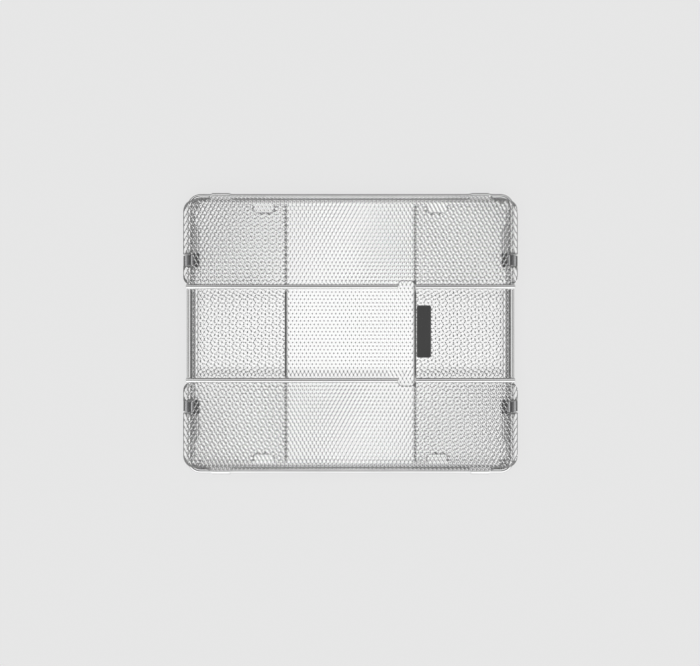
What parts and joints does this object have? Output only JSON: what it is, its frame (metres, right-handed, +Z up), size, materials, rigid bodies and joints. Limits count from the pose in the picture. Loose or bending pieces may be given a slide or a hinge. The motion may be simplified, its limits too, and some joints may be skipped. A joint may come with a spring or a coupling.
{
  "type": "folding sterilizer basket",
  "caption": "Shallow perforated steel tray in a ring of round wire, with long and end walls of perforated sheet that fold flat over it.",
  "frame": {"origin": "under the middle of the tray, on the surface that it rests on", "axes": "+X along the long walls, towards the end wall with the label plate; +Y to the rear long wall; +Z up"},
  "size_m": [0.3404, 0.2852, 0.0181],
  "materials": {
    "perforated_sheet": "electropolished perforated stainless sheet",
    "bright_wire": "electropolished round stainless wire",
    "spring_clip": "polished spring strip",
    "label_plate": "plain polished plate"
  },
  "bodies": {
    "base": {"tray": "perforated_sheet", "ring_wire": "bright_wire", "right_end_wall": "perforated_sheet", "left_end_wall": "perforated_sheet", "right_rear_hinge_wire": "bright_wire", "right_front_hinge_wire": "bright_wire", "left_rear_hinge_wire": "bright_wire", "left_front_hinge_wire": "bright_wire", "label_plate": "label_plate"},
    "rear": {"rear_wall": "perforated_sheet", "rear_rod_left": "bright_wire", "rear_rod_right": "bright_wire", "rear_clip_left": "spring_clip", "rear_clip_right": "spring_clip"},
    "front": {"front_wall": "perforated_sheet", "front_rod_left": "bright_wire", "front_rod_right": "bright_wire", "front_clip_left": "spring_clip", "front_clip_right": "spring_clip"}
  },
  "joints": [
    {"name": "rear_wall_hinge", "type": "hinge", "parent": "base", "child": "rear", "pos_m": [0, 0.139, 0.0105], "axis": [-1, 0, 0], "range_deg": [0, 90]},
    {"name": "front_wall_hinge", "type": "hinge", "parent": "base", "child": "front", "pos_m": [0, -0.139, 0.0105], "axis": [1, 0, 0], "range_deg": [0, 90]}
  ]
}
